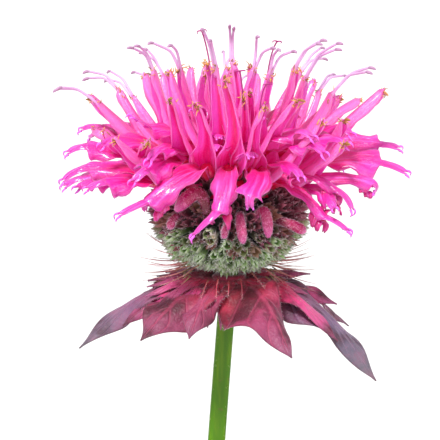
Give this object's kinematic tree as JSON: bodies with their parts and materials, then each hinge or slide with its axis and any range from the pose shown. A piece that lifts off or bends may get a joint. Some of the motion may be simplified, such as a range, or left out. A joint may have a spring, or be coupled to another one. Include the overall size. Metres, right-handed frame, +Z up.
{
  "type": "potted bee balm plant",
  "caption": "Flowering bee balm in a plain clay pot: a shaggy pink head over drooping dark bracts on a square leafy stem, with leafy side shoots in soil.",
  "frame": {"origin": "middle of the pot's flat underside", "axes": "+Z up along the pot's axis, -Y towards the front of the flower, +X to its right seen from the front"},
  "size_m": [0.1286, 0.124, 0.3121],
  "materials": {
    "clay": "matte",
    "soil": "matte",
    "leaf": "satin",
    "bract": "satin",
    "calyx": "matte",
    "petal": "satin"
  },
  "bodies": {
    "root": {"pot": "clay", "soil": "soil", "flowering_stem": "leaf", "side_shoot_a": "leaf", "side_shoot_b": "leaf", "bract_whorl": "bract", "calyx_head": "calyx", "flower_crown": "petal"}
  },
  "joints": []
}
